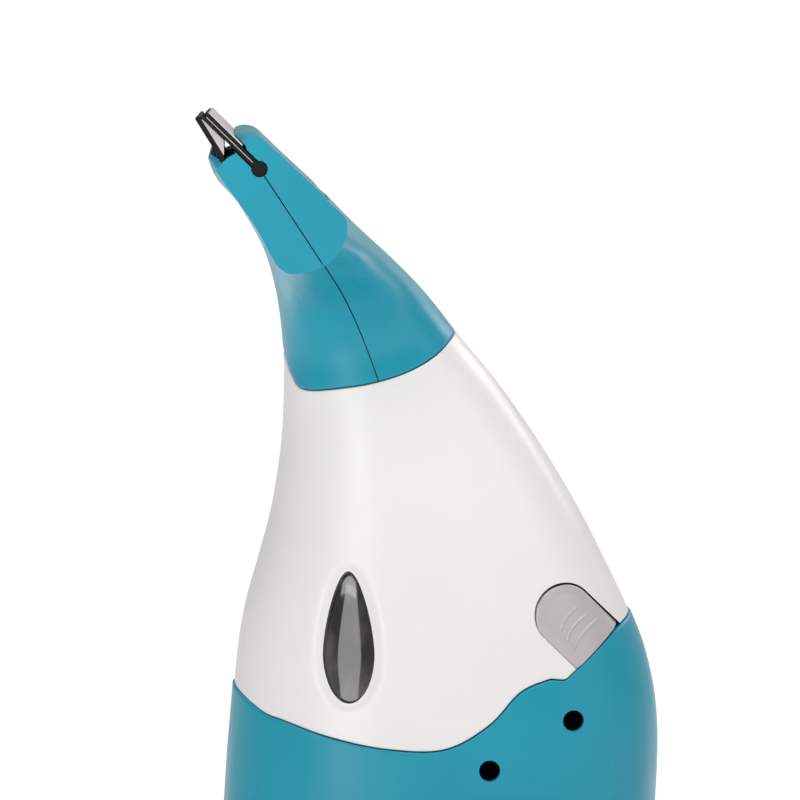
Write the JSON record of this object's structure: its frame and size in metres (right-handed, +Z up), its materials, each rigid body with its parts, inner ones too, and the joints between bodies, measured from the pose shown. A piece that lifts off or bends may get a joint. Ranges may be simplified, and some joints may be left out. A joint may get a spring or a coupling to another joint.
{
  "type": "handheld_steamer",
  "caption": "Handheld steamer with a wide squeegee head on a curved nozzle, a white casing with level windows, side release buttons and a teal lower casing with a loop handle",
  "frame": {"origin": "on the floor, under the middle of the standing steamer's box", "axes": "+Z up, -X forward, the way the head leans, +X towards the handle, -Y the steamer's left side"},
  "size_m": [0.1345, 0.21, 0.3273],
  "materials": {
    "teal": "moulded teal plastic, fine satin",
    "white": "glossy white plastic",
    "grey": "light grey plastic",
    "black_rubber": "black rubber",
    "pale": "pale grey strip",
    "smoked": "smoked transparent plastic",
    "tank_plastic": "translucent milky plastic",
    "aluminium": "cast aluminium",
    "steel": "zinc-plated or stainless steel",
    "silicone": "orange silicone rubber",
    "board": "green laminate",
    "dark": "black plastic"
  },
  "bodies": {
    "casing": {"nozzle_front_shell": "teal", "nozzle_rear_shell": "teal", "squeegee_blade": "black_rubber", "blade_backing_strip": "pale", "front_lip": "black_rubber", "front_lip_pad": "pale", "body_left_shell": "white", "body_right_shell": "white", "window_lens_left": "smoked", "window_lens_right": "smoked", "release_spring_left": "steel", "release_spring_right": "steel", "latch_bracket": "dark", "lower_left_shell": "teal", "lower_right_shell": "teal", "trigger_pin": "steel", "trigger_spring": "steel", "trigger_switch": "dark", "water_tank": "tank_plastic", "boiler": "aluminium", "heater_element": "steel", "thermostat": "dark", "thermal_fuse": "pale", "steam_pipe": "silicone", "steam_manifold": "tank_plastic", "neck_sleeve": "grey", "neck_seal": "silicone", "pump": "dark", "tank_hose": "silicone", "feed_hose": "silicone", "circuit_board": "board", "terminal_block": "dark", "cable_gland": "black_rubber", "screw_handle_top": "steel", "screw_handle_low": "steel", "screw_base_front": "steel", "screw_base_middle": "steel", "screw_bridge": "steel", "foot_front_left": "black_rubber", "foot_front_right": "black_rubber", "foot_rear_left": "black_rubber", "foot_rear_right": "black_rubber"},
    "left_button": {"release_button_left": "white"},
    "right_button": {"release_button_right": "white"},
    "trigger": {"steam_trigger": "grey"},
    "cap": {"filler_cap": "teal", "filler_cap_seal": "silicone"}
  },
  "joints": [
    {"name": "left_button_press", "type": "hinge", "parent": "casing", "child": "left_button", "pos_m": [0.04589, -0.031, 0.1769], "axis": [-0.698, 0, -0.7161], "range_deg": [0, 4], "stiffness_Nm_per_rad": 0.4, "springref_deg": -11.46, "deforming": ["release_spring_left"]},
    {"name": "right_button_press", "type": "hinge", "parent": "casing", "child": "right_button", "pos_m": [0.04589, 0.031, 0.1769], "axis": [0.698, 0, 0.7161], "range_deg": [0, 4], "stiffness_Nm_per_rad": 0.4, "springref_deg": -11.46, "deforming": ["release_spring_right"]},
    {"name": "trigger_pull", "type": "hinge", "parent": "casing", "child": "trigger", "pos_m": [0.0455, 0, 0.1242], "axis": [0, -1, 0], "range_deg": [0, 9], "stiffness_Nm_per_rad": 0.4, "springref_deg": -14.32, "deforming": ["trigger_spring"]},
    {"name": "filler_cap_turn", "type": "hinge", "parent": "casing", "child": "cap", "pos_m": [-0.0602, 0, 0.112], "axis": [-1, 0, 0], "range_deg": [0, 90]}
  ]
}
